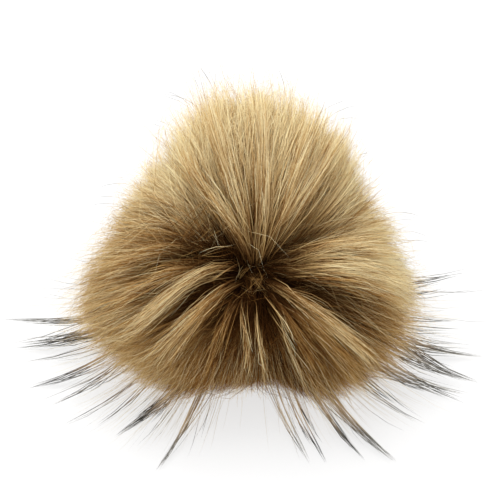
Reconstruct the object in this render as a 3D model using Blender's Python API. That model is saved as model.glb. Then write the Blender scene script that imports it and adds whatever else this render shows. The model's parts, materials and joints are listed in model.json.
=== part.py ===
"""A long-haired fur pom pom resting on its tied base.

The real thing is one disc of long pile fur, drawn up into a ball with the pile outside. Its coat is
parted at a whorl on the front and combed away from it on all sides. A tuft stands up behind, and the
longest guard hairs fan out low down and lie on the table.

Here it is one solid: the ball of dense under-fur, with a lock of hair raised from each of its facets.
Metres, +Z up, origin on the table in the middle of the flat spot that the ball rests on.
"""

import math

import bmesh
import bpy
import numpy as np

# Driving dimensions, in metres and degrees
NODE_NAME = "fur_ball"
MIDDLE = np.array([0.0, 0.0, 0.035])
WHORL_ELEVATION = 38.0
FRONT_REACH = 0.060
BACK_REACH = 0.064
UNDER_FUR_SHARE = 0.79
WHORL_DIMPLE = 0.005
DIMPLE_WIDTH = 26.0
FLAT_SPOT = 33.0
FACET_POINTS = 152
CROWDING_AT_WHORL = 1.3

# The dense coat's outline round the whorl: angle clockwise from the top, and how far it reaches
OUTLINE_ANGLE = (0, 15, 30, 45, 60, 75, 90, 105, 120, 135, 150, 165, 180, 195, 210, 225, 240, 255, 270, 285,
                 300, 315, 330, 345)
OUTLINE_REACH = (0.080, 0.079, 0.073, 0.065, 0.061, 0.061, 0.063, 0.066, 0.066, 0.063, 0.058, 0.051, 0.047,
                 0.050, 0.056, 0.061, 0.065, 0.068, 0.067, 0.063, 0.060, 0.062, 0.069, 0.077)

# The combing: how far hair moves away from the whorl, and from the partings that run out from it
COMBED_BACK = 50.0
COMBED_FROM = 9.0
COMBING_HEIGHT = 0.016
PARTING_ANGLE = (64, 118, 165, 200, 245, 292)
PARTING_WIDTH = 18.0
PARTING_SPREAD = 11.0
WAVE = 5.0
SAG_PER_METRE = 2.2
SAG_STARTS = 0.045

# The locks. Long guard hairs end in a band low round the ball, and others are rooted round the flat spot
# and lie on the table. Both bands are heights on a unit ball
GUARD_TIPS = (-0.38, 0.12)
GUARD_SHARE = 0.35
GUARDS_FROM = 58.0
LYING_ROOTS = (-0.90, -0.68)
LYING_SHARE = 0.85
LYING_THICKNESS = 0.35
GUARD_REACH = (0.086, 0.108)
SHORTER_IN_FRONT = 0.28
COAT_UNEVENNESS = (0.94, 1.07)
ROOT_RIM = 0.0015
COAT_RINGS = 4
GUARD_RINGS = 5
COAT_TAPER = 0.75
GUARD_TAPER = 1.6
MOST_LEAN = 3.0
BARE_WHORL = 3.0
SHORTEST_LOCK = 0.005
LONGEST_LOCK = 0.09
SEED = 15

# The table: hair below this height is squeezed toward it and slides outwards. It stays this far clear, so
# that the flat spot alone carries the ball
PRESSED_BELOW = 0.014
TABLE_CLEARANCE = 0.0006
PRESSED_DEPTH = 0.070
SPLAY = 0.95

FUR_COLOUR = (0.42, 0.27, 0.12, 1.0)
FUR_ROUGHNESS = 0.75

# Directions of the whorl's own frame: out of the whorl, up across it, and to the viewer's right
ELEVATION = math.radians(WHORL_ELEVATION)
OUT = np.array([0.0, -math.cos(ELEVATION), math.sin(ELEVATION)])
ACROSS = np.array([0.0, math.sin(ELEVATION), math.cos(ELEVATION)])
RIGHT = np.array([1.0, 0.0, 0.0])


def round_whorl(direction):
    """Degrees away from the whorl, and degrees clockwise round it from the top, of unit vectors."""
    away = np.degrees(np.arccos(np.clip(direction @ OUT, -1, 1)))
    turn = np.degrees(np.arctan2(direction @ RIGHT, direction @ ACROSS)) % 360
    return away, turn


def from_whorl(away, turn):
    """The unit vectors at those two angles."""
    away, turn = np.radians(away)[..., None], np.radians(turn)[..., None]
    return np.cos(away) * OUT + np.sin(away) * (np.cos(turn) * ACROSS + np.sin(turn) * RIGHT)


def from_middle(points):
    """Unit vectors from the ball's middle to these points."""
    return (points - MIDDLE) / np.linalg.norm(points - MIDDLE, axis=-1, keepdims=True)


def coat_reach(away, turn):
    """How far the dense coat reaches: the outline's radius at the sides, easing to front and back."""
    side = np.interp(turn, OUTLINE_ANGLE, OUTLINE_REACH, period=360)
    end = np.where(away < 90, FRONT_REACH, BACK_REACH)
    return end + (side - end) * np.sin(np.radians(away)) ** 2


def under_fur_reach(away, turn):
    """The ball's radius: a share of the coat's, less the dimple at the whorl."""
    return UNDER_FUR_SHARE * coat_reach(away, turn) - WHORL_DIMPLE * np.exp(-((away / DIMPLE_WIDTH) ** 2))


def combed(away, turn, height):
    """Where hair rooted at these angles has come to, this high above the ball: farther from the whorl,
    spread to both sides of the partings, and swung by slow waves. Neighbours never cross."""
    bend = 1 - np.exp(-height / COMBING_HEIGHT)
    apart = ((np.asarray(turn)[..., None] - PARTING_ANGLE + 180) % 360 - 180) / PARTING_WIDTH
    spread = PARTING_SPREAD * (apart * np.exp(-(apart ** 2))).sum(-1)
    wave = WAVE * np.sin(np.radians(3 * away + 4 * turn))
    back = COMBED_BACK * (1 - np.exp(-away / COMBED_FROM)) * (1 - away / 180) ** 1.6
    return away + (back + wave) * bend, turn + (spread + wave) * bend


def hair_point(direction, height, lean=(0.0, 0.0)):
    """The point this high above the ball on the hair rooted in this direction, as it would run with no
    table. It sags with its distance from the middle. The lean is in degrees, away and round."""
    away, turn = round_whorl(direction)
    radius = under_fur_reach(away, turn) + height
    now_away, now_turn = combed(away, turn, height)
    points = MIDDLE + radius[..., None] * from_whorl(now_away + lean[0], now_turn + lean[1])
    outside = np.clip(np.hypot(points[..., 0], points[..., 1]) - SAG_STARTS, 0, None)
    points[..., 2] -= SAG_PER_METRE * outside ** 2
    return points


def over_table(points):
    """The same points as they lie over the table. The lowest layer is squeezed by a power that is gentle
    at its top and strong below, so what was lower stays lower, and it slides outwards as it is pressed."""
    span = PRESSED_BELOW + PRESSED_DEPTH
    layer = PRESSED_BELOW - TABLE_CLEARANCE
    sunk = np.clip((PRESSED_BELOW - points[..., 2]) / span, 0, 1)
    outside = np.hypot(points[..., 0], points[..., 1])
    slide = 1 + SPLAY * span * sunk ** 2 / outside
    squeezed = TABLE_CLEARANCE + layer * (1 - sunk) ** (span / layer)
    height = np.where(sunk > 0, squeezed, points[..., 2])
    return np.stack([points[..., 0] * slide, points[..., 1] * slide, height], -1)


def facet_directions():
    """Directions on a spiral of golden-angle steps round the whorl, closer together near it."""
    share = (np.arange(FACET_POINTS) + 0.5) / FACET_POINTS
    away = np.degrees(np.arccos(1 - 2 * share ** CROWDING_AT_WHORL))
    return from_whorl(away, np.arange(FACET_POINTS) * 180 * (3 - math.sqrt(5)))


def build_ball(mesh):
    """The ball: the hull of the directions, each point pushed out to the under-fur's radius. Those round
    its lowest point lie on the table and make the flat spot."""
    directions = facet_directions()
    corners = [mesh.verts.new(direction) for direction in directions]
    bmesh.ops.convex_hull(mesh, input=corners)
    points = over_table(hair_point(directions, np.zeros(FACET_POINTS)))
    points[directions[:, 2] < -math.cos(math.radians(FLAT_SPOT)), 2] = 0
    for corner, point in zip(corners, points):
        corner.co = point
    bmesh.ops.recalc_face_normals(mesh, faces=mesh.faces)


def lock_kind(direction, chance):
    """What grows here: a guard hair that lies on the table, one that fans out over it, or the coat."""
    tip = from_whorl(*combed(*round_whorl(direction), COMBING_HEIGHT))
    if LYING_ROOTS[0] < direction[2] < LYING_ROOTS[1] and chance < LYING_SHARE:
        return "lying"
    is_low = GUARD_TIPS[0] < tip[2] < GUARD_TIPS[1] and round_whorl(direction)[0] > GUARDS_FROM
    return "guard" if is_low and chance < GUARD_SHARE else "coat"


def lock_height(direction, lean, kind, rng):
    """How high above the ball a lock's tip is: where its hair has come far enough from the middle. Guard
    hair is shorter in front. Coat hair ends where it would reach the table."""
    heights = np.linspace(0, LONGEST_LOCK, 120)
    free = hair_point(direction, heights, lean[:, None])
    away, turn = combed(*round_whorl(direction), COMBING_HEIGHT)
    in_front = max(0.0, -from_whorl(away, turn)[1]) ** 2
    guard_reach = rng.uniform(*GUARD_REACH) * (1 - SHORTER_IN_FRONT * in_front)
    reach = coat_reach(away, turn) * rng.uniform(*COAT_UNEVENNESS) if kind == "coat" else guard_reach
    is_end = np.linalg.norm(over_table(free) - MIDDLE, axis=1) > reach
    if kind == "coat":
        is_end |= free[:, 2] < 0
    return heights[is_end.argmax()]


def carried_rings(root, corners, height, lean, shares):
    """Sections of a lock in the coat: the facet as the combed hair carries it, no wider than its root."""
    root_size = np.linalg.norm(corners - root, axis=1).max()
    for share in shares:
        line = hair_point(from_middle(root), share * height, lean * share)
        section = hair_point(from_middle(corners), share * height, lean * share) - line
        widened = max(1.0, np.linalg.norm(section, axis=1).max() / root_size)
        yield over_table(line + section / widened * (1 - share) ** COAT_TAPER)


def lying_rings(root, corners, height, lean, shares):
    """Sections of a guard lock on the table: square to its line, flatter than its root, and no lower
    than the clearance where the line is low. The facet's outer edge becomes the top."""
    centre = from_middle(root)
    line = over_table(hair_point(centre, np.append(shares, 1) * height, lean[:, None]))
    tangents = np.diff(line, axis=0)
    tangents /= np.linalg.norm(tangents, axis=1)[:, None]
    sideways = np.cross([0, 0, 1], tangents)
    sideways /= np.linalg.norm(sideways, axis=1)[:, None]
    across = (corners - root) @ sideways[0]
    upward = (corners - root) @ np.cross(centre, sideways[0]) * LYING_THICKNESS
    for share, point, tangent, side in zip(shares, line, tangents, sideways):
        section = np.outer(across, side) + np.outer(upward, np.cross(tangent, side))
        ring = point + section * (1 - share) ** GUARD_TAPER
        yield ring + [0, 0, max(0.0, TABLE_CLEARANCE - ring[:, 2].min())]


def raise_lock(mesh, facet, height, lean, rings):
    """Extrudes one facet from ring to ring, and closes it in a point."""
    centre = from_middle(np.array(facet.calc_center_median()))
    for ring in rings:
        facet = bmesh.ops.extrude_discrete_faces(mesh, faces=[facet])["faces"][0]
        for corner, point in zip(facet.verts, ring):
            corner.co = point
    tip = bmesh.ops.poke(mesh, faces=[facet])["verts"][0]
    tip.co = over_table(hair_point(centre, height, lean))


def raise_locks(mesh):
    """A lock on every facet but those of the flat spot, the whorl's own middle, and where hair would be
    too short. Its rings are evenly spaced, and a guard lock has one more."""
    rng = np.random.default_rng(SEED)
    facets = [face for face in mesh.faces if max(corner.co.z for corner in face.verts) > 0]
    bmesh.ops.inset_individual(mesh, faces=facets, thickness=ROOT_RIM, use_even_offset=True)
    for facet in facets:
        corners = np.array([corner.co for corner in facet.verts])
        root = np.array(facet.calc_center_median())
        direction = from_middle(root)
        lean = rng.uniform(-MOST_LEAN, MOST_LEAN, 2)
        kind = lock_kind(direction, rng.random())
        height = lock_height(direction, lean, kind, rng)
        if height < SHORTEST_LOCK or round_whorl(direction)[0] < BARE_WHORL:
            continue
        count = COAT_RINGS if kind == "coat" else GUARD_RINGS
        make_rings = lying_rings if kind == "lying" else carried_rings
        rings = make_rings(root, corners, height, lean, np.arange(1, count) / count)
        raise_lock(mesh, facet, height, lean, rings)


def fur_material():
    material = bpy.data.materials.new("golden_fur")
    material.use_nodes = True
    shader = material.node_tree.nodes["Principled BSDF"]
    shader.inputs["Base Color"].default_value = FUR_COLOUR
    shader.inputs["Roughness"].default_value = FUR_ROUGHNESS
    shader.inputs["Metallic"].default_value = 0.0
    return material


def main():
    for old in list(bpy.data.objects):
        bpy.data.objects.remove(old)
    shape = bmesh.new()
    build_ball(shape)
    raise_locks(shape)
    data = bpy.data.meshes.new(NODE_NAME)
    shape.to_mesh(data)
    shape.free()
    data.materials.append(fur_material())
    collection = bpy.data.collections.new("pom_pom")
    bpy.context.scene.collection.children.link(collection)
    collection.objects.link(bpy.data.objects.new(NODE_NAME, data))


main()
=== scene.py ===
"""A long-haired fur pom pom, dressed hair by hair over its modelled ball, on a white table.

Metres, +Z up, origin on the table in the middle of the flat spot that the ball rests on. The front, with
the whorl that the coat is combed away from, looks along -Y.
"""

import json
import math

import bpy
import numpy as np
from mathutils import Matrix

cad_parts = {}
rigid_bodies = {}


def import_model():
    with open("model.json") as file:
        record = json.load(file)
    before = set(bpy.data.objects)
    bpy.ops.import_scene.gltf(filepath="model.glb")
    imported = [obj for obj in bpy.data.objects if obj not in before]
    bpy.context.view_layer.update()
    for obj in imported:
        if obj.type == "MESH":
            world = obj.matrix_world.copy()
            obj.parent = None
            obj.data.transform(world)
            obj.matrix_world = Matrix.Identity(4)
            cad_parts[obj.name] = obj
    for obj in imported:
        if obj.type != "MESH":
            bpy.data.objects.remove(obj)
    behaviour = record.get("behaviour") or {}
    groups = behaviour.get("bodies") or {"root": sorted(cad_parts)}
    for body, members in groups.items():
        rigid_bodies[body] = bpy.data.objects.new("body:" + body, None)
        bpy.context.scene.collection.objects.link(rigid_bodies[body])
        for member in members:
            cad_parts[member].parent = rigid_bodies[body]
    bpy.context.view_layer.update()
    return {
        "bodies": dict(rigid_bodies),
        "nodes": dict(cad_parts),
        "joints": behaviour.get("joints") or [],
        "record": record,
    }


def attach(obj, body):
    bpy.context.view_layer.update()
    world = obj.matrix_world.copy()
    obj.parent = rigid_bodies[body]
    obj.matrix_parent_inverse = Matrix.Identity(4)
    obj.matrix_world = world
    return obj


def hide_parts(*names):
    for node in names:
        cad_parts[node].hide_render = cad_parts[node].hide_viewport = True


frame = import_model()

# The ball
# A disc of long pile fur is drawn up into a ball with its pile outside. What is left of the disc inside the
# coat is a lumpy ball of short, dense, dark under-fur, with a dimple at the whorl and a flat spot below.
MIDDLE = np.array([0.0, 0.0, 0.035])
FRONT_ELEVATION = math.radians(38.0)
OUT = np.array([0.0, -math.cos(FRONT_ELEVATION), math.sin(FRONT_ELEVATION)])
ACROSS = np.array([0.0, math.sin(FRONT_ELEVATION), math.cos(FRONT_ELEVATION)])
RIGHT = np.array([1.0, 0.0, 0.0])
FRONT = np.array([OUT, ACROSS, RIGHT])
WHORL_AWAY = 10.5
WHORL_TURN = 16.0
FRONT_REACH = 0.061
BACK_REACH = 0.068
BALL_SHARE = 0.52
WHORL_DIMPLE = 0.006
DIMPLE_WIDTH = 26.0
FLAT_SPOT = math.radians(33.0)
BALL_ROWS = 60
BALL_COLUMNS = 120
LUMP_HEIGHT = 0.0012
LUMP_WAVES = np.array([9.0, 8.0, 10.0])
LUMP_STARTS = np.array([0.0, 1.0, 2.0])
FLAT_SPOT_EDGE = 12.0

# The coat's outline round its front: degrees clockwise from the top, how far its longest hairs reach in
# metres, and its tone there. 0 is brown and 1 is straw, and the lowest and the highest hair go beyond them.
# The tone paints light and shade: paler over the top, where the light from above falls, and darker low
# down, in the shade under the ball
OUTLINE = np.array([
    (0, 0.087, 1.10), (15, 0.083, 1.10), (30, 0.076, 1.10), (45, 0.067, 1.02), (60, 0.064, 0.92),
    (75, 0.067, 1.10), (90, 0.070, 1.08), (105, 0.072, 0.54), (120, 0.069, 0.20), (135, 0.064, 0.32),
    (150, 0.059, 0.04), (165, 0.047, -0.20), (180, 0.043, -0.26), (195, 0.045, -0.20), (210, 0.055, 0.06),
    (225, 0.060, 0.42), (240, 0.066, 0.56), (255, 0.074, 0.66), (270, 0.074, 0.76), (285, 0.067, 0.66),
    (300, 0.064, 0.72), (315, 0.065, 0.94), (330, 0.072, 1.05), (345, 0.086, 1.10),
])


def angles_in(frame, direction):
    """Degrees away from a frame's first axis, and degrees clockwise round it from its second, of unit
    vectors."""
    out, up, right = np.moveaxis(direction @ frame.T, -1, 0)
    return np.degrees(np.arccos(np.clip(out, -1, 1))), np.degrees(np.arctan2(right, up)) % 360


def direction_in(frame, away, turn):
    """The unit vectors at those two angles."""
    away, turn = np.radians(away), np.radians(turn)
    return np.stack([np.cos(away), np.sin(away) * np.cos(turn), np.sin(away) * np.sin(turn)], -1) @ frame


def whorl_frame():
    """The axes at the whorl: out of it, up across it, and to the viewer's right."""
    out = direction_in(FRONT, WHORL_AWAY, WHORL_TURN)
    up = ACROSS - (ACROSS @ out) * out
    up /= np.linalg.norm(up)
    return np.array([out, up, np.cross(up, out)])


WHORL = whorl_frame()


def coat_reach(direction):
    """How far the coat reaches: the outline's radius at the sides, easing to front and back by the square of
    the sine of the angle away from the front."""
    away, turn = angles_in(FRONT, direction)
    side = np.interp(turn, OUTLINE[:, 0], OUTLINE[:, 1], period=360)
    end = np.where(away < 90, FRONT_REACH, BACK_REACH)
    return end + (side - end) * np.sin(np.radians(away)) ** 2


def ball_surface(away, turn):
    """The ball's radius along each direction: a share of the coat's, less a bell-shaped dimple, with lumps
    that are the product of three slow waves. Points round the lowest direction are brought to the table."""
    direction = direction_in(WHORL, away, turn)
    radius = BALL_SHARE * coat_reach(direction) - WHORL_DIMPLE * np.exp(-((away / DIMPLE_WIDTH) ** 2))
    lumps = np.sin(LUMP_WAVES * direction + LUMP_STARTS).prod(-1)
    points = MIDDLE + direction * (radius + LUMP_HEIGHT * lumps)[..., None]
    under = np.clip((-direction[..., 2] - math.cos(FLAT_SPOT)) * FLAT_SPOT_EDGE, 0, 1)
    points[..., 2] *= 1 - under
    return points


def ball_mesh():
    """A grid of rows round the whorl, closed by one point at the whorl and one at the back."""
    away = np.linspace(0, 180, BALL_ROWS + 1)[1:-1]
    turn = np.arange(BALL_COLUMNS) * 360 / BALL_COLUMNS
    grid = ball_surface(*np.meshgrid(away, turn, indexing="ij")).reshape(-1, 3)
    ends = ball_surface(np.array([0.0, 180.0]), np.array([0.0, 0.0]))
    row, column = np.meshgrid(np.arange(BALL_ROWS - 2), np.arange(BALL_COLUMNS), indexing="ij")
    after = (column + 1) % BALL_COLUMNS
    quads = np.stack([row * BALL_COLUMNS + column, (row + 1) * BALL_COLUMNS + column,
                      (row + 1) * BALL_COLUMNS + after, row * BALL_COLUMNS + after], -1).reshape(-1, 4)
    first = np.arange(BALL_COLUMNS)
    last = first + (BALL_ROWS - 2) * BALL_COLUMNS
    front = np.stack([np.full(BALL_COLUMNS, len(grid)), first, np.roll(first, -1)], -1)
    back = np.stack([np.full(BALL_COLUMNS, len(grid) + 1), np.roll(last, -1), last], -1)
    mesh = bpy.data.meshes.new("under_fur_ball")
    mesh.from_pydata(np.vstack([grid, ends]), [], quads.tolist() + front.tolist() + back.tolist())
    mesh.shade_smooth()
    return mesh


def under_fur_material():
    """Matted dark brown wool: a fine noise drives its colour and its bump."""
    material = bpy.data.materials.new("under_fur")
    material.use_nodes = True
    nodes, links = material.node_tree.nodes, material.node_tree.links
    shader = nodes["Principled BSDF"]
    shader.inputs["Roughness"].default_value = 0.95
    shader.inputs["Specular IOR Level"].default_value = 0.1
    place = nodes.new("ShaderNodeTexCoord")
    noise = nodes.new("ShaderNodeTexNoise")
    noise.inputs["Scale"].default_value = 700
    noise.inputs["Detail"].default_value = 6
    ramp = nodes.new("ShaderNodeValToRGB")
    ramp.color_ramp.elements[0].position = 0.35
    ramp.color_ramp.elements[0].color = (0.016, 0.008, 0.004, 1)
    ramp.color_ramp.elements[1].position = 0.7
    ramp.color_ramp.elements[1].color = (0.060, 0.028, 0.012, 1)
    bump = nodes.new("ShaderNodeBump")
    bump.inputs["Distance"].default_value = 0.0006
    links.new(place.outputs["Object"], noise.inputs["Vector"])
    links.new(noise.outputs["Fac"], ramp.inputs["Fac"])
    links.new(ramp.outputs["Color"], shader.inputs["Base Color"])
    links.new(noise.outputs["Fac"], bump.inputs["Height"])
    links.new(bump.outputs["Normal"], shader.inputs["Normal"])
    return material


def seat(mesh, material):
    """A piece of the pom pom from its mesh: it rides with the ball, and stands for the modelled one."""
    mesh.materials.append(material)
    piece = bpy.data.objects.new(mesh.name, mesh)
    bpy.context.scene.collection.objects.link(piece)
    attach(piece, "root")
    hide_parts("fur_ball")
    return piece


seat(ball_mesh(), under_fur_material())

# The wool
# Short, fine, crimped hair stands all over the ball beneath the coat. It is darker than the coat and fills
# the gaps between its locks, where its dark tone also paints the shade in them.
ROOT_SHARE = 0.44
ROOT_JITTER = 0.5
GUIDE_JITTER = 0.3
COMBED_BACK = 62.0
COMBED_FROM = 7.0
COMBED_LESS_BEHIND = 1.4
BEND_POWER = 1.35
RISE_POWER = 1.7
SAG_PER_METRE = 2.6
SAG_STARTS = 0.045
PRESSED_BELOW = 0.014
PRESSED_DEPTH = 0.070
SPLAY = 0.6
DEEPEST_TIP = 0.006
CROWDING_AT_WHORL = 1.3
ROOTLESS_BELOW = -0.93
SWIRL = (3.5, 2.5, 1.6)
SWIRL_WAVES = (5.0, 10.0, 19.0)
GATHER_POWER = 1.2
FRIZZ_POWER = 1.5
FRIZZ_WAVE = 0.5
WOOL_HAIRS = 16000
WOOL_GUIDES = 2500
WOOL_STEPS = 3
WOOL_SHARE = (0.56, 0.84)
WOOL_GUIDE_SHARE = 0.75
WOOL_LEAN = 6.0
WOOL_GATHER = 0.4
WOOL_FRIZZ = 0.0010
WOOL_WIDTH = 0.00030
WOOL_PALENESS = 0.35
WOOL_TONE = (-0.10, 0.05)
WOOL_PROFILE = np.array([1.0, 0.9, 0.6])
MOST_ROLL = 0.9
TONE_ROW = 0.004
TONE_ROWS = (0.01, 0.99)
LEAST_SIDE = 1e-7
WOOL_RIPE = (0.35, 0.62)
# Hair near the whorl stops short of its pale colours: painted shade in the whorl's pit
WHORL_RIPE = 0.50
UNRIPE_WITHIN = 11.0
# Where hair turns paler: degrees round the whorl, degrees away from it where that starts,
# and over how many. Hair in and near the whorl is darker: painted shade in its pit, as well as its darker
# roots
PALER_TABLE = np.array([
    (0, -7, 8), (45, -5, 9), (75, 1, 10), (100, 1, 11), (118, 5, 20), (150, 5, 34), (180, 5, 50),
    (215, 5, 36), (250, 4, 22), (290, 8, 32), (325, 0, 14),
])
DARKEST_AT_WHORL = 0.12

# The hollows and crests of the coat, by their place round the whorl: degrees round, width, degrees away
# from the whorl where each begins and ends, degrees that hair is pushed off it to both sides, how far the
# hair on it is raised as a share of its reach, how much paler it is, and how much of the hair is missing.
# The darker tone in the hollows paints their shade, along with the darker roots that show there
COAT_FORMS = np.array([
    (57, 13, 0, 40, 18, -0.10, -0.60, 0.84),
    (88, 16, 26, 75, 0, 0.01, 0.18, 0),
    (115, 11, 12, 50, 14, -0.20, -0.70, 0.96),
    (143, 5, 20, 50, 5, -0.08, -0.30, 0.5),
    (166, 11, 2, 62, 13, -0.18, -0.65, 0.96),
    (197, 9, 22, 54, 5, -0.08, -0.35, 0.6),
    (241, 3.5, 10, 46, 8, -0.12, -0.55, 0.85),
    (272, 5, 22, 46, 5, -0.06, -0.30, 0.5),
    (292, 19, 8, 44, 8, -0.09, -0.28, 0.50),
])
# How the forms come in and fade out along the coat, in degrees: how much sooner than their own places they
# begin, how gradually, how much sooner they end, and how gradually. Roots lie nearer the whorl than hair does
SHAPED_STEPS = (0.0, 2.0, 0.0, 4.0)
MISSING_STEPS = (3.0, 1.5, 16.0, 2.5)
# The whorl's three arms: degrees round, and degrees long. Hair beside one is combed off it to both sides
WHORL_ARMS = np.array([(59, 22), (172, 15), (290, 12)])
ARM_WIDTH = 12.0
ARM_PULL = 0.75
ARM_FADE = 0.15
SHORTER_AT_WHORL = 0.42
WHORL_PIT = 8.0

rng = np.random.default_rng(4)


def unit(vectors):
    return vectors / np.linalg.norm(vectors, axis=-1, keepdims=True)


def over_table(points):
    """The same points as they lie over the table: the lowest layer is squeezed by a power, so what was lower
    stays lower, and it slides outwards by the square of how far it was pressed."""
    span = PRESSED_BELOW + PRESSED_DEPTH
    sunk = np.clip((PRESSED_BELOW - points[..., 2]) / span, 0, 1)
    outside = np.clip(np.hypot(points[..., 0], points[..., 1]), 0.01, None)
    slide = 1 + SPLAY * span * sunk ** 2 / outside
    squeezed = PRESSED_BELOW * (1 - sunk) ** (span / PRESSED_BELOW)
    height = np.where(sunk > 0, squeezed, points[..., 2])
    return np.stack([points[..., 0] * slide, points[..., 1] * slide, height], -1)


def from_forms(turn):
    """How far each hair is from each of the coat's forms, in the form's own widths."""
    return ((np.asarray(turn)[..., None] - COAT_FORMS[:, 0] + 180) % 360 - 180) / COAT_FORMS[:, 1]


def parted(turn):
    """Degrees that hair is pushed round the whorl, off the hollows, by the slope of a bell curve."""
    apart = from_forms(turn)
    return (COAT_FORMS[:, 4] * apart * np.exp(-(apart ** 2))).sum(-1)


def form_there(away, turn, begins_sooner, begins_over, ends_sooner, ends_over):
    """How much of each of the coat's forms there is at a place: a bell curve round the whorl, that comes in
    and fades out by smooth steps along it."""
    begins = 1 / (1 + np.exp((COAT_FORMS[:, 2] - begins_sooner - away[..., None]) / begins_over))
    ends = 1 / (1 + np.exp((away[..., None] - COAT_FORMS[:, 3] + ends_sooner) / ends_over))
    return np.exp(-(from_forms(turn) ** 2)) * begins * ends


def missing(away, turn):
    """The share of hair that the hollows lack, where it is rooted a little nearer the whorl than they lie."""
    return np.clip(form_there(away, turn, *MISSING_STEPS) @ COAT_FORMS[:, 7], 0, 1)


def form_lift_and_tone(away, turn):
    """How much the hair at a place is raised and how much paler it is; in the hollows the darker tone is
    painted shade.
    """
    there = form_there(away, turn, *SHAPED_STEPS)
    return there @ COAT_FORMS[:, 5], there @ COAT_FORMS[:, 6]


swirl_waves = [rng.normal(0, waves, (2, 4, 3)) for waves in SWIRL_WAVES]
swirl_starts = rng.uniform(0, math.tau, (len(SWIRL), 2, 4))


def swirl(direction):
    """Degrees that hair is swung, away from the whorl and round it: sums of waves in random directions."""
    swung = np.zeros((len(direction), 2))
    for size, waves, starts in zip(SWIRL, swirl_waves, swirl_starts):
        swung += size * np.sin(np.einsum("nk,cwk->ncw", direction, waves) + starts).sum(-1)
    return swung


def combed_from(away, turn):
    """The place that hair rooted at these angles is combed away from, across and up in degrees: the nearest
    point of the whorl's arms, each weighed by a bell curve of how far the hair is from it."""
    place = np.stack([away * np.sin(np.radians(turn)), away * np.cos(np.radians(turn))], -1)
    heading = np.stack([np.sin(np.radians(WHORL_ARMS[:, 0])), np.cos(np.radians(WHORL_ARMS[:, 0]))], -1)
    along = np.clip(place @ heading.T, 0, WHORL_ARMS[:, 1])
    near = along[..., None] * heading
    apart = np.linalg.norm(place[:, None] - near, axis=-1) / ARM_WIDTH
    weight = np.exp(-(apart ** 2)) * (along > 0)
    return ARM_PULL * (near * weight[..., None]).sum(1) / (weight.sum(1, keepdims=True) + ARM_FADE)


def hair_lines(roots, share, lean, steps, astray=0.0):
    """The line of each hair. It leaves the skin steeply, then lies over, away from the place it is combed
    from: its angle grows by a power above one of the way along it, and its radius by a power that flattens
    out. Its tip is at a share of the coat's reach, less in the whorl, or where that would be too far below
    the table, and its outer part sags with the square of the distance out."""
    away, turn = angles_in(WHORL, roots)
    middle = combed_from(away, turn) + astray
    across = away * np.sin(np.radians(turn)) - middle[:, 0]
    up = away * np.cos(np.radians(turn)) - middle[:, 1]
    away, turn = np.hypot(across, up), np.degrees(np.arctan2(across, up))
    less_behind = np.clip(1 - away / 180, 0, 1) ** COMBED_LESS_BEHIND
    back = COMBED_BACK * (1 - np.exp(-away / COMBED_FROM)) * less_behind
    swept = np.stack([back, parted(turn)], -1) + swirl(roots) + lean

    def combed(part):
        angle = np.radians(turn[:, None] + swept[:, 1:] * part)
        distance = away[:, None] + swept[:, :1] * part
        across = middle[:, :1] + distance * np.sin(angle)
        up = middle[:, 1:] + distance * np.cos(angle)
        return np.hypot(across, up), np.degrees(np.arctan2(across, up))

    lift = form_lift_and_tone(*combed(0.5))[0][:, 0]
    tip = direction_in(WHORL, *combed(1.0))[:, 0]
    short = 1 - SHORTER_AT_WHORL * np.exp(-((away / WHORL_PIT) ** 2))
    tip_radius = (share + lift) * short * coat_reach(tip)
    tip_radius = np.minimum(tip_radius, (MIDDLE[2] + DEEPEST_TIP) / np.clip(-tip[:, 2], 0.01, None))
    root_radius = ROOT_SHARE * coat_reach(roots)
    along = np.linspace(0, 1, steps + 1)
    rise = 1 - (1 - along) ** RISE_POWER
    radius = root_radius[:, None] + (tip_radius - root_radius)[:, None] * rise
    points = MIDDLE + direction_in(WHORL, *combed(along ** BEND_POWER)) * radius[..., None]
    outside = np.clip(np.hypot(points[..., 0], points[..., 1]) - SAG_STARTS, 0, None)
    points[..., 2] -= SAG_PER_METRE * outside ** 2
    return points


def spread_roots(count, jitter):
    """Directions on a spiral of golden-angle steps round the whorl, closer together near it by a power,
    each moved by a random share of the spacing. None is rooted in the flat spot."""
    share = (np.arange(count) + 0.5) / count
    away = np.degrees(np.arccos(1 - 2 * share ** CROWDING_AT_WHORL))
    roots = direction_in(WHORL, away, np.arange(count) * 180 * (3 - math.sqrt(5)))
    roots = unit(roots + rng.normal(0, jitter * math.sqrt(4 * math.pi / count), roots.shape))
    return roots[roots[:, 2] > ROOTLESS_BELOW]


def nearest(directions, guides):
    """For each direction, the number of the guide that makes the smallest angle with it."""
    blocks = np.array_split(directions, max(1, len(directions) // 2000))
    return np.concatenate([(block @ guides.T).argmax(1) for block in blocks])


def gathered(lines, guide_lines, gather, frizz):
    """Hairs drawn together in locks: each line closes in on its guide's by a power of the way along it. Frizz
    is a random sideways drift that grows the same way, with a smaller wave."""
    along = np.linspace(0, 1, lines.shape[1])[:, None]
    drift = rng.normal(0, 1, (len(lines), 2, 3)) * np.reshape(frizz, (-1, 1, 1))
    lines = lines + (guide_lines - lines) * gather[:, None, None] * along ** GATHER_POWER
    lines += drift[:, :1] * along ** FRIZZ_POWER + drift[:, 1:] * FRIZZ_WAVE * np.sin(math.tau * along)
    return over_table(lines)


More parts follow.
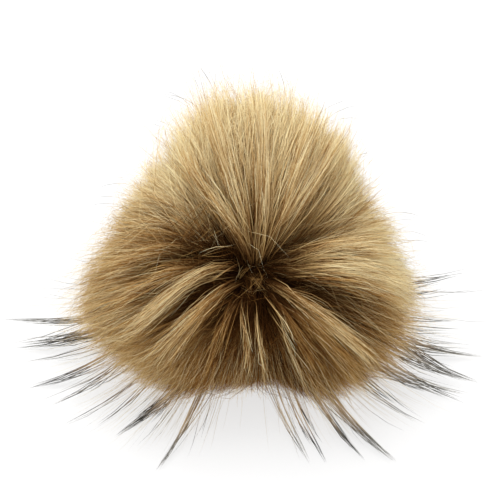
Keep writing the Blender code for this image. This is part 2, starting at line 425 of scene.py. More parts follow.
def strip_mesh(name, lines, width, tone, profile, ripe):
    """Fine flat hairs. Two edges run beside each line, as far apart as the profile says at each point, and
    meet in its last one. Each hair is rolled about its line by a random angle from facing out of the ball.
    The UV map has U along the hair, from the root to how ripe its tip is, and V across its tone, in a row
    that is a little wider than nothing."""
    count, rungs = len(lines), lines.shape[1] - 1
    along = unit(np.gradient(lines, axis=1))
    outwards = unit(lines[:, 1] + lines[:, -1] - 2 * MIDDLE)
    flat = np.cross(lines[:, -1] - lines[:, 0], outwards) + LEAST_SIDE
    side = unit(flat[:, None] - (flat[:, None] * along).sum(-1, keepdims=True) * along)
    roll = rng.uniform(-MOST_ROLL, MOST_ROLL, (count, 1, 1))
    side = (np.cos(roll) * side + np.sin(roll) * np.cross(side, along))[:, :rungs]
    half = (width[:, None] / 2 * profile)[..., None] * side
    edges = np.stack([lines[:, :rungs] - half, lines[:, :rungs] + half], 2)
    points = np.concatenate([edges.reshape(count, -1, 3), lines[:, -1:]], 1)
    points[..., 2] = np.clip(points[..., 2], 0, None)
    rung = np.arange(rungs - 1)[:, None] * 2
    pattern = np.append((rung + (0, 1, 3, 2)).ravel(), (2 * rungs - 2, 2 * rungs - 1, 2 * rungs))
    across = np.append(np.tile([-1.0, 1.0], rungs), 0.0)[pattern] * TONE_ROW
    forward = np.append(np.repeat(np.arange(rungs), 2), rungs)[pattern] / rungs
    forward = np.broadcast_to(ripe, count)[:, None] * forward
    uv = np.stack([forward, np.clip(tone, *TONE_ROWS)[:, None] + across], -1)
    return faced_mesh(name, points, pattern, [4] * (rungs - 1) + [3], uv)


def faced_mesh(name, points, pattern, sizes, uv):
    """One mesh of many like hairs: their points, the corners of one hair's faces, and those faces' sizes."""
    corners = (np.arange(len(points))[:, None] * points.shape[1] + pattern).ravel()
    sizes = np.tile(sizes, len(points))
    mesh = bpy.data.meshes.new(name)
    mesh.vertices.add(points.size // 3)
    mesh.vertices.foreach_set("co", points.ravel())
    mesh.loops.add(len(corners))
    mesh.loops.foreach_set("vertex_index", corners)
    mesh.polygons.add(len(sizes))
    mesh.polygons.foreach_set("loop_start", np.concatenate([[0], np.cumsum(sizes)[:-1]]))
    mesh.update(calc_edges=True)
    mesh.uv_layers.new(name="OFBake").data.foreach_set("uv", uv.ravel())
    mesh.shade_smooth()
    return mesh


def hair_material(name, tones, roughness):
    """Hair coloured along its length, by U of the map. Each tone is its place on V and a ramp of stops, and
    each ramp is mixed over the one before it as V goes from the one place to the other."""
    material = bpy.data.materials.new(name)
    material.use_nodes = True
    nodes, links = material.node_tree.nodes, material.node_tree.links
    shader = nodes["Principled BSDF"]
    shader.inputs["Roughness"].default_value = roughness
    shader.inputs["Specular IOR Level"].default_value = 0.0
    place = nodes.new("ShaderNodeUVMap")
    place.uv_map = "OFBake"
    split = nodes.new("ShaderNodeSeparateXYZ")
    links.new(place.outputs["UV"], split.inputs["Vector"])
    colour, before = None, 0.0
    for at, stops in tones:
        ramp = nodes.new("ShaderNodeValToRGB")
        elements = ramp.color_ramp.elements
        elements[0].position, elements[0].color = stops[0][0], (*stops[0][1], 1)
        elements[1].position, elements[1].color = stops[-1][0], (*stops[-1][1], 1)
        for position, stop in stops[1:-1]:
            elements.new(position).color = (*stop, 1)
        links.new(split.outputs["X"], ramp.inputs["Fac"])
        if colour is None:
            colour = ramp.outputs["Color"]
            continue
        part = nodes.new("ShaderNodeMapRange")
        part.inputs["From Min"].default_value = before
        part.inputs["From Max"].default_value = at
        mix = nodes.new("ShaderNodeMixRGB")
        links.new(split.outputs["Y"], part.inputs["Value"])
        links.new(part.outputs["Result"], mix.inputs["Fac"])
        links.new(colour, mix.inputs["Color1"])
        links.new(ramp.outputs["Color"], mix.inputs["Color2"])
        colour, before = mix.outputs["Color"], at
    links.new(colour, shader.inputs["Base Color"])
    return material


FUR_BROWN = ((0.0, (0.010, 0.0042, 0.0018)), (0.30, (0.028, 0.010, 0.0032)), (0.55, (0.085, 0.031, 0.008)),
             (0.75, (0.22, 0.088, 0.020)), (0.90, (0.44, 0.21, 0.052)), (1.0, (0.60, 0.34, 0.115)))
FUR_TAN = ((0.0, (0.026, 0.010, 0.003)), (0.28, (0.120, 0.048, 0.013)), (0.50, (0.37, 0.185, 0.055)),
           (0.72, (0.62, 0.385, 0.135)), (0.90, (0.77, 0.56, 0.235)), (1.0, (0.82, 0.66, 0.34)))
FUR_STRAW = ((0.0, (0.075, 0.033, 0.010)), (0.16, (0.30, 0.155, 0.048)), (0.34, (0.66, 0.44, 0.180)),
             (0.60, (0.95, 0.81, 0.47)), (0.84, (0.84, 0.76, 0.51)), (1.0, (0.64, 0.585, 0.45)))
fur = hair_material("golden_fur", ((0.0, FUR_BROWN), (0.62, FUR_TAN), (1.0, FUR_STRAW)), roughness=0.8)


def tone_with_painted_light(lines):
    """The coat's tone where each hair ends, from the outline's table, and how its forms change it where the
    hair's middle is. It paints light and shade: paler on top, darker low down and in the hollows."""
    turn = angles_in(FRONT, unit(lines[:, -1] - MIDDLE))[1]
    middle = unit(lines[:, lines.shape[1] // 2] - MIDDLE)
    outline_light_and_shade = np.interp(turn, OUTLINE[:, 0], OUTLINE[:, 2], period=360)
    return outline_light_and_shade + form_lift_and_tone(*angles_in(WHORL, middle))[1]


def roots_paler(roots):
    """How pale hair is by where it is rooted: dark in the whorl, as painted shade of its pit and its darker
    roots, and paler by a smooth step away from it.
    """
    away, turn = angles_in(WHORL, roots)
    starts = np.interp(turn, PALER_TABLE[:, 0], PALER_TABLE[:, 1], period=360)
    over = np.interp(turn, PALER_TABLE[:, 0], PALER_TABLE[:, 2], period=360)
    step = np.clip((away - starts) / over, 0, 1)
    return DARKEST_AT_WHORL + (1 - DARKEST_AT_WHORL) * step * step * (3 - 2 * step)


def ripeness(roots):
    """How far along its colours hair gets: all the way, less by a bell curve round the whorl, which keeps the
    hair there dark as painted shade in the whorl's pit.
    """
    return 1 - (1 - WHORL_RIPE) * np.exp(-((angles_in(WHORL, roots)[0] / UNRIPE_WITHIN) ** 2))


wool_roots = spread_roots(WOOL_HAIRS, ROOT_JITTER)
wool_guides = spread_roots(WOOL_GUIDES, GUIDE_JITTER)
count, guides = len(wool_roots), len(wool_guides)
wool_share = rng.uniform(*WOOL_SHARE, count)
wool_lines = hair_lines(wool_roots, wool_share, rng.normal(0, WOOL_LEAN, (count, 2)), WOOL_STEPS)
guide_lines = hair_lines(wool_guides, np.full(guides, WOOL_GUIDE_SHARE), np.zeros((guides, 2)), WOOL_STEPS)
guide_lines = guide_lines[nearest(wool_roots, wool_guides)]
wool_lines = gathered(wool_lines, guide_lines, np.full(count, WOOL_GATHER), WOOL_FRIZZ)
# The wool's tone follows the coat's painted light and shade, kept darker and short of its pale colours as
# painted shade in the gaps
wool_tone = WOOL_PALENESS * tone_with_painted_light(wool_lines) * roots_paler(wool_roots) + rng.uniform(*WOOL_TONE, count)
wool_ripe = rng.uniform(*WOOL_RIPE, count)
seat(strip_mesh("wool", wool_lines, np.full(count, WOOL_WIDTH), wool_tone, WOOL_PROFILE, wool_ripe), fur)

# The coat
# Long golden hair in locks, combed away from the whorl. Each lock draws together toward its end, and the
# hollows between the locks show the darker roots, with their tone darkened further as painted shade. It is
# made in four quarters round the whorl.
QUARTERS = {"coat_top": 0, "coat_right": 90, "coat_low": 180, "coat_left": 270}
HALF_QUARTER = 45
COAT_HAIRS = 94000
COAT_LOCKS = 4200
BIG_LOCKS = 300
COAT_STEPS = 4
COAT_GATHER = (0.10, 0.85)
COAT_SHARE = (0.70, 0.92, 1.04)
LOCK_GUIDE_SHARE = 0.94
LOCK_SHARE = (-0.09, 0.04)
BIG_LOCK_SHARE = (-0.04, 0.02)
LOCK_BORDER = 0.012
COAT_WIDTH = (0.00013, 0.00024)
COAT_FRIZZ = 0.0012
LOCK_LEAN = 4.5
BIG_LOCK_LEAN = 5.0
HAIR_LEAN = 2.5
STRAY_SHARE = 0.17
STRAY_LEAN = 15.0
TOUSLED_AWAY = 27.0
TOUSLED_TURN = 291.0
TOUSLED_WIDTH = 15.0
TOUSLED_LEAN = 18.0
LOCK_TONE = 0.17
BIG_LOCK_TONE = 0.12
HAIR_TONE = 0.22
LEAST_UNEVEN = 0.45
LOCK_ASTRAY = 4.5
HAIR_ASTRAY = 2.2
COAT_RIPE = (0.86, 1.0)
HAIR_PROFILE = np.array([1.0, 0.95, 0.80, 0.52])
# A lean round the whorl swings a hair less the farther it is from it, so it grows there: by the sine of the
# angle away and some degrees more, but never by more than this least sine allows
LEAN_EVENED_FROM = 30.0
LEAST_SINE = 0.35

coat_roots = spread_roots(COAT_HAIRS, ROOT_JITTER)
coat_roots = coat_roots[rng.random(len(coat_roots)) > missing(*angles_in(WHORL, coat_roots))]
lock_guides = spread_roots(COAT_LOCKS, GUIDE_JITTER)
big_guides = spread_roots(BIG_LOCKS, GUIDE_JITTER)
count, locks, big_locks = len(coat_roots), len(lock_guides), len(big_guides)
lock_of = nearest(unit(coat_roots + rng.normal(0, LOCK_BORDER, coat_roots.shape)), lock_guides)
big_lock_of = nearest(lock_guides, big_guides)
lock_lean = rng.normal(0, LOCK_LEAN, (locks, 2))
lock_lean = lock_lean + rng.normal(0, BIG_LOCK_LEAN, (big_locks, 2))[big_lock_of]
lock_astray = rng.normal(0, LOCK_ASTRAY, (locks, 2))
lock_share = rng.uniform(*LOCK_SHARE, locks) + rng.uniform(*BIG_LOCK_SHARE, big_locks)[big_lock_of]
lock_tone = rng.normal(0, LOCK_TONE, locks) + rng.normal(0, BIG_LOCK_TONE, big_locks)[big_lock_of]
guide_lines = hair_lines(lock_guides, LOCK_GUIDE_SHARE + lock_share, lock_lean, COAT_STEPS, lock_astray)

root_away = angles_in(WHORL, coat_roots)[0]
tousled = direction_in(WHORL, TOUSLED_AWAY, TOUSLED_TURN)
from_tousled = np.degrees(np.arccos(np.clip(coat_roots @ tousled, -1, 1)))
stray = rng.random(count) < STRAY_SHARE
own_lean = HAIR_LEAN + STRAY_LEAN * stray + TOUSLED_LEAN * np.exp(-((from_tousled / TOUSLED_WIDTH) ** 2))
own_lean = rng.normal(0, 1, (count, 2)) * own_lean[:, None]
own_lean[:, 1] /= np.clip(np.sin(np.radians(root_away + LEAN_EVENED_FROM)), LEAST_SINE, None)
coat_gather = rng.uniform(*COAT_GATHER, count) * ~stray
coat_share = rng.triangular(*COAT_SHARE, count) + lock_share[lock_of]
coat_astray = lock_astray[lock_of] + rng.normal(0, HAIR_ASTRAY, (count, 2))
coat_lines = hair_lines(coat_roots, coat_share, lock_lean[lock_of] + own_lean, COAT_STEPS, coat_astray)
coat_lines = gathered(coat_lines, guide_lines[lock_of], coat_gather, COAT_FRIZZ)
# The tone paints light and shade: paler on top, darker low down, in the hollows and in the whorl
coat_tone = tone_with_painted_light(coat_lines) * roots_paler(coat_roots)
uneven = LEAST_UNEVEN + (1 - LEAST_UNEVEN) * np.clip(coat_tone, 0, 1)
coat_tone += (lock_tone[lock_of] + rng.normal(0, HAIR_TONE, count)) * uneven
coat_width = rng.uniform(*COAT_WIDTH, count)
coat_ripe = ripeness(coat_roots) * rng.uniform(*COAT_RIPE, count)
coat_turn = angles_in(WHORL, coat_roots)[1]
for name, angle in QUARTERS.items():
    chosen = np.abs((coat_turn - angle + 180) % 360 - 180) <= HALF_QUARTER
    seat(strip_mesh(name, coat_lines[chosen], coat_width[chosen], coat_tone[chosen], HAIR_PROFILE,
                    coat_ripe[chosen]), fur)

# The great locks
# Where the coat parts, whole locks of long hair have swung together and lie over the rest, beside the
# hollows that they left. Their hairs start one after the other along the lock and run side by side.
#
# Each lock: degrees round the whorl where it starts, halfway and where it ends, degrees away from the whorl
# where it starts and ends, half its width in millimetres, its hairs, and its tone
GREAT_LOCKS = np.array([
    (134, 128, 127, 8, 64, 2.3, 360, 0.68), (140, 137, 135, 14, 60, 2.6, 200, 0.40),
    (152, 149, 147, 12, 52, 2.2, 90, 0.30), (158, 158, 156, 12, 52, 0.6, 14, 0.80),
    (182, 178, 173, 14, 50, 0.6, 11, 0.76), (180, 176, 170, 22, 52, 0.7, 10, 0.76),
    (206, 190, 183, 14, 46, 0.7, 16, 0.72), (196, 187, 186, 18, 50, 0.8, 14, 0.62),
    (214, 208, 205, 14, 56, 2.4, 90, 0.34), (228, 226, 222, 12, 58, 2.4, 170, 0.48),
    (237, 231, 232, 9, 60, 2.4, 260, 0.64), (282, 250, 247, 9, 64, 2.8, 340, 0.70),
    (276, 262, 258, 20, 62, 3.2, 180, 0.56), (292, 276, 270, 30, 64, 3.4, 180, 0.56),
    (333, 326, 330, 3, 52, 2.4, 240, 0.70), (346, 343, 344, 4, 60, 3.0, 260, 0.80),
    (12, 4, 1, 3, 62, 3.2, 300, 0.84), (28, 24, 22, 5, 64, 3.2, 260, 0.82),
    (38, 34, 31, 9, 66, 3.2, 240, 0.82), (74, 78, 83, 15, 62, 3.6, 300, 0.84),
    (88, 92, 98, 15, 66, 4.2, 500, 0.96), (100, 100, 104, 18, 66, 3.4, 200, 0.56),
])
GREAT_LOCK_REACH = (0.86, 1.02)
GREAT_LOCK_RISE = 2.6
GREAT_LOCK_BEGIN = (-0.05, 0.5)
GREAT_LOCK_PART = (0.42, 0.62)
GREAT_LOCK_SCATTER = 0.6
GREAT_LOCK_CLOSING = 0.25
GREAT_LOCK_WANDER = 0.35
NEAREST_SINE = 0.12
GREAT_LOCK_WIDTH = (0.00013, 0.00026)
GREAT_LOCK_FRIZZ = 0.0014
GREAT_LOCK_TONE = 0.24
GREAT_LOCK_RIPE = (0.70, 0.95)
GREAT_LOCK_STEPS = 5
GREAT_PROFILE = np.array([1.0, 1.0, 0.95, 0.80, 0.55])


def great_lock_lines(rows, steps):
    """Each hair's line along its lock: the angle round the whorl is a parabola through the lock's three, the
    distance across it closes in a little toward the end, and the hair rises from the skin by a power that
    flattens out. A hair covers half to three quarters of the lock, from a random start."""
    count = len(rows)
    begin = rng.uniform(*GREAT_LOCK_BEGIN, count)[:, None]
    along = np.linspace(0, 1, steps + 1)
    place = begin + rng.uniform(*GREAT_LOCK_PART, count)[:, None] * along
    first, halfway, last = rows[:, 0:1], rows[:, 1:2], rows[:, 2:3]
    slope, bend = 4 * halfway - 3 * first - last, 2 * (first + last) - 4 * halfway
    away = rows[:, 3:4] + (rows[:, 4:5] - rows[:, 3:4]) * place
    aside = rng.normal(0, GREAT_LOCK_SCATTER, (count, 1)) * (1 - GREAT_LOCK_CLOSING * along)
    aside = aside + rng.normal(0, GREAT_LOCK_WANDER, (count, 1)) * along ** 2
    aside = aside * rows[:, 5:6] / 1000
    turn = first + slope * place + bend * place ** 2
    reach = coat_reach(direction_in(WHORL, away, turn))
    turn = turn + np.degrees(aside / (reach * np.sin(np.radians(away)).clip(NEAREST_SINE)))
    share = rng.uniform(*GREAT_LOCK_REACH, (count, 1))
    radius = reach * (ROOT_SHARE + (share - ROOT_SHARE) * (1 - (1 - along) ** GREAT_LOCK_RISE))
    points = MIDDLE + direction_in(WHORL, away, turn) * radius[..., None]
    outside = np.clip(np.hypot(points[..., 0], points[..., 1]) - SAG_STARTS, 0, None)
    points[..., 2] -= SAG_PER_METRE * outside ** 2
    return over_table(points)


great_rows = np.repeat(GREAT_LOCKS, GREAT_LOCKS[:, 6].astype(int), axis=0)
count = len(great_rows)
great_lines = great_lock_lines(great_rows, GREAT_LOCK_STEPS)
great_lines = gathered(great_lines, great_lines, np.zeros(count), GREAT_LOCK_FRIZZ)
great_tone = great_rows[:, 7] + rng.normal(0, GREAT_LOCK_TONE, count)
great_width = rng.uniform(*GREAT_LOCK_WIDTH, count)
great_ripe = rng.uniform(*GREAT_LOCK_RIPE, count)
seat(strip_mesh("great_locks", great_lines, great_width, great_tone, GREAT_PROFILE, great_ripe), fur)

# The stray hairs
# A few long hairs lie across the coat near the whorl and on its upper left, out of line with its combing.
#
# Each group: where it starts and ends, across and up from the whorl in degrees, how high it starts and ends
# as a share of the coat's reach, its hairs, how far apart they are in degrees, and its tone
STRAYS = np.array([
    (-9.0, 8.5, -22.0, 3.0, 0.70, 0.94, 4, 0.6, 0.70), (-7.0, 2.0, -19.0, -7.0, 0.70, 0.92, 4, 0.6, 0.70),
    (2.0, 5.0, -8.0, -6.0, 0.50, 0.66, 9, 1.8, 0.34), (-4.0, 5.0, 6.0, -9.0, 0.50, 0.66, 9, 2.4, 0.30),
    (6.0, 4.0, -2.0, -12.0, 0.50, 0.68, 9, 2.2, 0.30), (-9.0, -3.0, 4.0, -7.0, 0.52, 0.64, 8, 1.8, 0.30),
    (-30.0, 16.0, -14.0, 22.0, 0.84, 0.95, 9, 3.0, 0.36), (-32.0, 8.0, -18.0, 14.0, 0.84, 0.95, 9, 3.0, 0.36),
    (-22.0, 10.0, -34.0, 20.0, 0.82, 0.96, 10, 3.0, 0.42),
])
STRAY_STEPS = 5
STRAY_BOW = 0.10
STRAY_RISE = 0.7
STRAY_UNEVEN = (-0.03, 0.02)
STRAY_WIDTH = (0.00012, 0.00022)
STRAY_TONE = 0.15
STRAY_RIPE = 0.85

stray_rows = np.repeat(STRAYS, STRAYS[:, 6].astype(int), axis=0)
count = len(stray_rows)
along = np.linspace(0, 1, STRAY_STEPS + 1)[:, None]
ends = stray_rows[:, None, :4] + rng.normal(0, 1, (count, 1, 4)) * stray_rows[:, None, 7:8]
place = ends[..., :2] + (ends[..., 2:] - ends[..., :2]) * along
bow = (ends[..., 2:] - ends[..., :2])[..., ::-1] * (1, -1) * rng.normal(0, STRAY_BOW, (count, 1, 1))
place = place + bow * 4 * along * (1 - along)
direction = direction_in(WHORL, np.hypot(place[..., 0], place[..., 1]),
                         np.degrees(np.arctan2(place[..., 0], place[..., 1])))
share = stray_rows[:, None, 4:5] + (stray_rows[:, None, 5:6] - stray_rows[:, None, 4:5]) * along ** STRAY_RISE
share = share + rng.uniform(*STRAY_UNEVEN, (count, 1, 1))
stray_lines = MIDDLE + direction * coat_reach(direction)[..., None] * share
stray_width = rng.uniform(*STRAY_WIDTH, count)
stray_tone = stray_rows[:, 8] + rng.normal(0, STRAY_TONE, count)
seat(strip_mesh("stray_hairs", stray_lines, stray_width, stray_tone, GREAT_PROFILE, STRAY_RIPE), fur)

# The guard hairs
# The longest, stiffest hairs fan out low down from under the coat and come to rest on the table. They are
# pale and fine where they leave the coat and black toward their ends, and stick together in pointed clumps.
#
# The clumps that show in front: degrees round from the front, to the viewer's right, how far they reach, how
# many hairs they hold, and how widely these spread
FRONT_CLUMPS = np.array([
    (-94, 0.105, 18, 0.9), (-90, 0.102, 30, 1.4), (-85, 0.094, 20, 1.0), (-75, 0.095, 16, 1.1),
    (-66, 0.089, 8, 0.9), (-40, 0.081, 30, 1.2), (-27, 0.080, 16, 0.8), (19, 0.072, 10, 0.7),
    (24, 0.074, 8, 1.0), (34, 0.082, 18, 0.9), (40, 0.090, 26, 1.0), (54, 0.083, 10, 1.1),
    (66, 0.090, 18, 1.0), (71, 0.094, 14, 0.9), (76, 0.096, 32, 1.1), (87, 0.100, 22, 0.9),
    (97, 0.090, 6, 0.8), (111, 0.100, 10, 1.1),
])
SMALL_CLUMPS = 40
HAIRS_A_SMALL_CLUMP = 4
SMALL_CLUMP_REACH = (0.84, 1.05)
SMALL_CLUMP_SPREAD = (0.4, 1.4)
LOOSE_GUARDS = 560
LOOSE_REACH = (0.72, 0.92, 1.12)
CREAM_SHARE = 0.8
CREAM = 0.95
BLACK_TONE = (0.0, 0.25)
HAIR_TONE_IN_CLUMP = (-0.1, 0.15)
ALL_ROUND = (-125, 235)
SMALL_CLUMP_GAP = 22
LOOSE_GAP = 16
CLUMP_SHARE = (0.74, 0.97, 1.01)
CLUMP_OPENS = (3.6, 3.4)
CLUMP_SWING = 6.0
GUARD_SWING = 3.5
GUARD_STARTS = (0.028, 0.038)
GUARD_SWAY = 0.35
GUARD_CLOSES = 1.5
GUARD_FALLS = 1.8
GUARD_STEPS = 5
SKIRT_IN_FRONT = 0.022
SKIRT_HIGHER_BEHIND = 0.026
SKIRT_START = (0.5, 1.15)
TIP_HEIGHT = 0.0005
TIP_UNEVEN = 0.001
TIP_LIFT = 0.8
TIP_LIFT_FROM = 0.012
CLUMPED_WIDTH = (0.00026, 0.00046)
LOOSE_WIDTH = (0.00010, 0.00020)
GUARD_PROFILE = np.array([0.55, 0.65, 0.85, 1.0, 0.75])
# How far guard hairs reach, by degrees round from the front, to either side
GUARD_REACH = np.array([
    (0, 0.060), (20, 0.066), (35, 0.076), (60, 0.086), (85, 0.101), (110, 0.101), (180, 0.093),
])


def guard_reach(angle):
    """How far guard hairs reach at these angles."""
    return np.interp(np.abs((angle + 180) % 360 - 180), GUARD_REACH[:, 0], GUARD_REACH[:, 1])


def clear_of_front(angle, gap):
    """The same angles, with those in a gap to both sides of the front spread out to four times as far."""
    return np.where(np.abs(angle) < gap, angle * 4, angle)


def guard_lines(begin, end, reach, tip_height, start_height, steps):
    """Lines from inside the coat to their ends near the table: the distance out grows evenly, the height
    falls with a power of what is left of the way, the angle closes in on the clump's own, and a slow wave
    sways each line a little to one side and back."""
    along = np.linspace(0, 1, steps + 1)
    turn = end[:, None] + (begin - end)[:, None] * (1 - along) ** GUARD_CLOSES
    turn += rng.normal(0, GUARD_SWAY, (len(end), 1)) * np.sin(math.tau * along)
    turn = np.radians(turn)
    start = rng.uniform(*GUARD_STARTS, (len(end), 1))
    out = start + (reach[:, None] - start) * along
    height = tip_height[:, None] + (start_height - tip_height)[:, None] * (1 - along) ** GUARD_FALLS
    return np.stack([out * np.sin(turn), -out * np.cos(turn), height], -1)


def skirt_height(angle):
    """How high round the coat guard hairs begin: low in front, where the coat is cut short over them, and
    higher at the sides and behind, where they drape."""
    behind = 0.5 - 0.5 * np.cos(np.radians(angle))
    return SKIRT_IN_FRONT + SKIRT_HIGHER_BEHIND * behind


small_angle = clear_of_front(rng.uniform(*ALL_ROUND, SMALL_CLUMPS), SMALL_CLUMP_GAP)
small = np.stack([
    small_angle,
    guard_reach(small_angle) * rng.uniform(*SMALL_CLUMP_REACH, SMALL_CLUMPS),
    np.full(SMALL_CLUMPS, HAIRS_A_SMALL_CLUMP),
    rng.uniform(*SMALL_CLUMP_SPREAD, SMALL_CLUMPS),
], -1)
clumps = np.concatenate([FRONT_CLUMPS, small])
clump_of = np.repeat(np.arange(len(clumps)), clumps[:, 2].astype(int))
clumped = len(clump_of)
clump_tone = rng.uniform(*BLACK_TONE, len(clumps))
clump_lift = rng.uniform(0.0, 1.0, len(clumps)) ** 2
clump_share = rng.triangular(*CLUMP_SHARE, clumped)
clump_spread = clumps[clump_of, 3] * (CLUMP_OPENS[0] - CLUMP_OPENS[1] * clump_share)
end_angle = clumps[clump_of, 0] + rng.normal(0, 1, clumped) * clump_spread
loose_angle = clear_of_front(rng.uniform(*ALL_ROUND, LOOSE_GUARDS), LOOSE_GAP)
end_angle = np.concatenate([end_angle, loose_angle])
count = len(end_angle)
clump_swing = rng.normal(0, CLUMP_SWING, len(clumps))
begin_angle = end_angle + rng.normal(0, GUARD_SWING, count)
begin_angle[:clumped] += clump_swing[clump_of]
reach = np.concatenate([
    clumps[clump_of, 1] * clump_share,
    guard_reach(loose_angle) * rng.triangular(*LOOSE_REACH, LOOSE_GUARDS),
])
lift = np.concatenate([clump_lift[clump_of], rng.uniform(0, 1, LOOSE_GUARDS) ** 1.5])
tip_height = TIP_HEIGHT + (skirt_height(end_angle) - TIP_LIFT_FROM) * TIP_LIFT * lift
tip_height = tip_height + rng.uniform(0, TIP_UNEVEN, count)
start_height = skirt_height(end_angle) * rng.uniform(*SKIRT_START, count)
guards = guard_lines(begin_angle, end_angle, reach, tip_height, start_height, GUARD_STEPS)
loose_tone = np.where(rng.random(LOOSE_GUARDS) < CREAM_SHARE, CREAM, rng.uniform(*BLACK_TONE, LOOSE_GUARDS))
guard_tone = np.concatenate([clump_tone[clump_of] + rng.uniform(*HAIR_TONE_IN_CLUMP, clumped), loose_tone])
guard_width = np.concatenate([
    rng.uniform(*CLUMPED_WIDTH, clumped),
    rng.uniform(*LOOSE_WIDTH, LOOSE_GUARDS),
])
GUARD_BLACK = ((0.0, (0.10, 0.045, 0.015)), (0.35, (0.45, 0.27, 0.11)), (0.52, (0.58, 0.43, 0.27)),
               (0.63, (0.20, 0.13, 0.08)), (0.71, (0.010, 0.008, 0.007)), (1.0, (0.008, 0.007, 0.006)))
GUARD_CREAM = ((0.0, (0.20, 0.12, 0.05)), (0.40, (0.80, 0.67, 0.46)), (0.70, (0.92, 0.87, 0.76)),
               (1.0, (0.95, 0.92, 0.86)))
black_tipped = hair_material("black_tipped_fur", ((0.0, GUARD_BLACK), (1.0, GUARD_CREAM)), roughness=0.6)
seat(strip_mesh("guard_hairs", guards, guard_width, guard_tone, GUARD_PROFILE, 1.0), black_tipped)

# The top hairs
# A few black-tipped hairs like the guard hairs stand out of the top and the shoulders of the coat.
#
# Each few: degrees clockwise round the front's outline where they start, how much further round they end,
# and how far out they start and end in metres
TOP_HAIRS = np.array([
    (348, -1.0, 0.070, 0.0910), (350, -3.0, 0.072, 0.0915), (343, -6, 0.070, 0.0865), (22, 9, 0.066, 0.0860),
    (24, 12, 0.066, 0.0840), (334, -7, 0.062, 0.0800), (10, -5, 0.074, 0.0900), (38, 5, 0.060, 0.0745),
    (312, -6, 0.058, 0.0740), (304, -7, 0.056, 0.0730), (64, 6, 0.058, 0.0740), (72, 5, 0.060, 0.0760),
])
HAIRS_TOGETHER = 3
TOP_STEPS = 5
TOP_BEND = 1.5
TOP_APART = 1.2
TOP_LENGTH = (0.88, 1.0)
TOP_AWAY = (80, 96)
TOP_WIDTH = (0.00012, 0.00022)
TOP_TONE = 0.1

top_rows = np.repeat(TOP_HAIRS, HAIRS_TOGETHER, axis=0)
count = len(top_rows)
along = np.linspace(0, 1, TOP_STEPS + 1)
top_turn = top_rows[:, :1] + (top_rows[:, 1:2] + rng.normal(0, TOP_BEND, (count, 1))) * along ** 2
top_turn = top_turn + rng.normal(0, TOP_APART, (count, 1))
top_length = (top_rows[:, 3:4] - top_rows[:, 2:3]) * along * rng.uniform(*TOP_LENGTH, (count, 1))
top_out = top_rows[:, 2:3] + top_length
top_away = np.tile(rng.uniform(*TOP_AWAY, (count, 1)), len(along))
top_lines = MIDDLE + direction_in(FRONT, top_away, top_turn) * top_out[..., None]
top_width = rng.uniform(*TOP_WIDTH, count)
top_tone = np.full(count, TOP_TONE)
seat(strip_mesh("top_hairs", top_lines, top_width, top_tone, GUARD_PROFILE, 1.0), black_tipped)

# The wisps
# Single soft hairs stand a little clear of the coat all round, but not at the whorl, and fade its edge.
WISPS = 9000
WISP_STEPS = 4
WISP_SHARE = (0.93, 0.96, 1.13)
WISP_LEAN = 5.0
WISP_FRIZZ = 0.0022
WISP_WIDTH = (0.00008, 0.00013)
WISP_TONE = (0.55, 0.95)
WISP_RIPE = 0.92
NO_WISPS_WITHIN = 24.0

wisp_roots = spread_roots(WISPS, ROOT_JITTER)
wisp_roots = wisp_roots[angles_in(WHORL, wisp_roots)[0] > NO_WISPS_WITHIN]
count = len(wisp_roots)
wisp_share = rng.triangular(*WISP_SHARE, count)
wisp_lines = hair_lines(wisp_roots, wisp_share, rng.normal(0, WISP_LEAN, (count, 2)), WISP_STEPS)
wisp_lines = gathered(wisp_lines, wisp_lines, np.zeros(count), WISP_FRIZZ)
wisp_tone = rng.uniform(*WISP_TONE, count)
wisp_width = rng.uniform(*WISP_WIDTH, count)
seat(strip_mesh("wisps", wisp_lines, wisp_width, wisp_tone, HAIR_PROFILE, WISP_RIPE), fur)

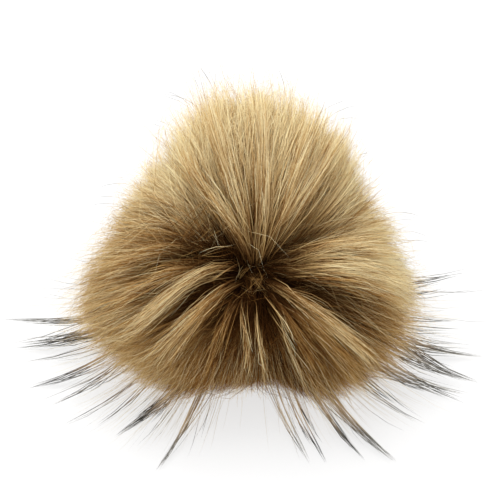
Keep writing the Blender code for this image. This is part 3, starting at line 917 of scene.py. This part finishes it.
# The table, the light and the camera
# A white table that runs off out of sight, lit softly from all round and a little more from above.
TABLE_SIZE = 6.0
TABLE_GLOW = 0.70
PICTURE_WIDTH = 0.200
MIDDLE_BELOW_CENTRE = 0.014
LENS = 120.0
SENSOR = 36.0
ROOM_GLOW = 0.75
SOFTBOX_PLACE = (-0.15, 0.25, 1.0)
SOFTBOX_SIZE = 0.9
SOFTBOX_POWER = 9.0

table_mesh = bpy.data.meshes.new("table_top")
half = TABLE_SIZE / 2
corners = [(-half, -half, 0), (half, -half, 0), (half, half, 0), (-half, half, 0)]
table_mesh.from_pydata(corners, [], [(0, 1, 2, 3)])
table = bpy.data.objects.new("table_top", table_mesh)
bpy.context.scene.collection.objects.link(table)
table_white = bpy.data.materials.new("table_white")
table_white.use_nodes = True
shader = table_white.node_tree.nodes["Principled BSDF"]
shader.inputs["Base Color"].default_value = (0.3, 0.3, 0.3, 1)
shader.inputs["Roughness"].default_value = 0.9
shader.inputs["Specular IOR Level"].default_value = 0.0
shader.inputs["Emission Color"].default_value = (1, 1, 1, 1)
shader.inputs["Emission Strength"].default_value = TABLE_GLOW
table_mesh.materials.append(table_white)

world = bpy.data.worlds.new("white_room")
bpy.context.scene.world = world
world.use_nodes = True
world.node_tree.nodes["Background"].inputs["Color"].default_value = (1, 1, 1, 1)
world.node_tree.nodes["Background"].inputs["Strength"].default_value = ROOM_GLOW

softbox = bpy.data.lights.new("softbox", "AREA")
softbox.size = SOFTBOX_SIZE
softbox.energy = SOFTBOX_POWER
softbox_object = bpy.data.objects.new("softbox", softbox)
softbox_object.location = SOFTBOX_PLACE
softbox_object.rotation_euler = (
    -math.atan2(SOFTBOX_PLACE[1], SOFTBOX_PLACE[2]), math.atan2(SOFTBOX_PLACE[0], SOFTBOX_PLACE[2]), 0,
)
bpy.context.scene.collection.objects.link(softbox_object)

camera = bpy.data.cameras.new("camera")
camera.lens = LENS
camera.sensor_width = SENSOR
camera_object = bpy.data.objects.new("camera", camera)
camera_object.location = MIDDLE + ACROSS * MIDDLE_BELOW_CENTRE + OUT * PICTURE_WIDTH * LENS / SENSOR
camera_object.rotation_euler = (math.pi / 2 - FRONT_ELEVATION, 0, 0)
bpy.context.scene.collection.objects.link(camera_object)
bpy.context.scene.camera = camera_object

bpy.context.scene.view_settings.view_transform = "Standard"
